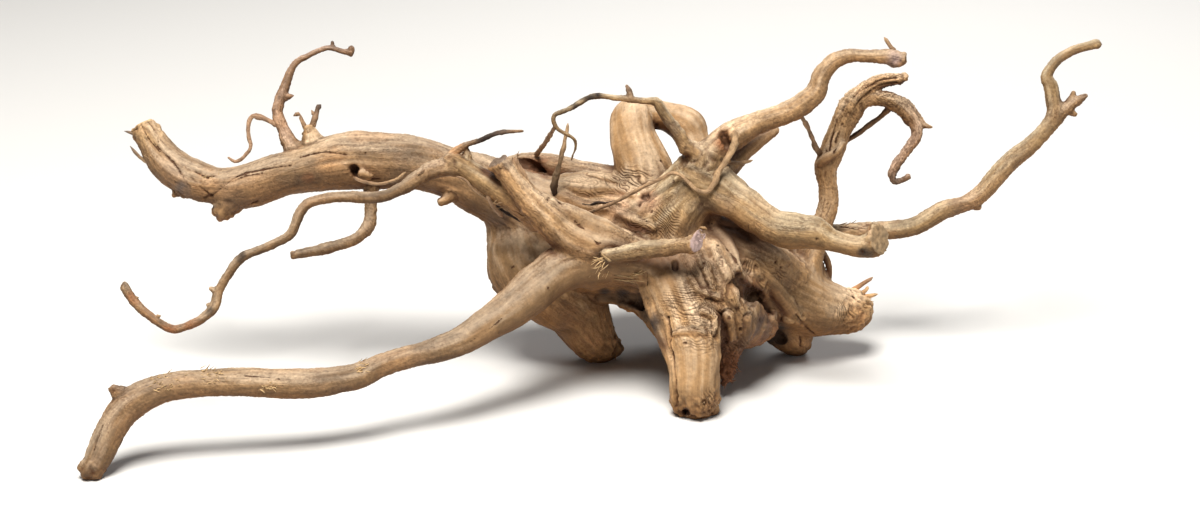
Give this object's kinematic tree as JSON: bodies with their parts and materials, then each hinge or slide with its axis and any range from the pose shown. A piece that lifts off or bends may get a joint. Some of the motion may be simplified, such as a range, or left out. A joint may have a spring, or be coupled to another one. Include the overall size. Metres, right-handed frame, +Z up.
{
  "type": "spiderwood root",
  "caption": "Spiderwood driftwood root: a gnarled crown on stubby feet, with heavy limbs, forked prongs and thin curling twigs, for aquarium or terrarium layouts.",
  "frame": {"origin": "middle of the floor under the whole root: the centre of its box, at the level of its feet", "axes": "+Z up, +X along the root from the end of the long front limb to the far twig, +Y from front to back"},
  "size_m": [0.7415, 0.3118, 0.2542],
  "materials": {
    "wood": "matte"
  },
  "bodies": {
    "root": {"spiderwood_root": "wood"}
  },
  "joints": []
}
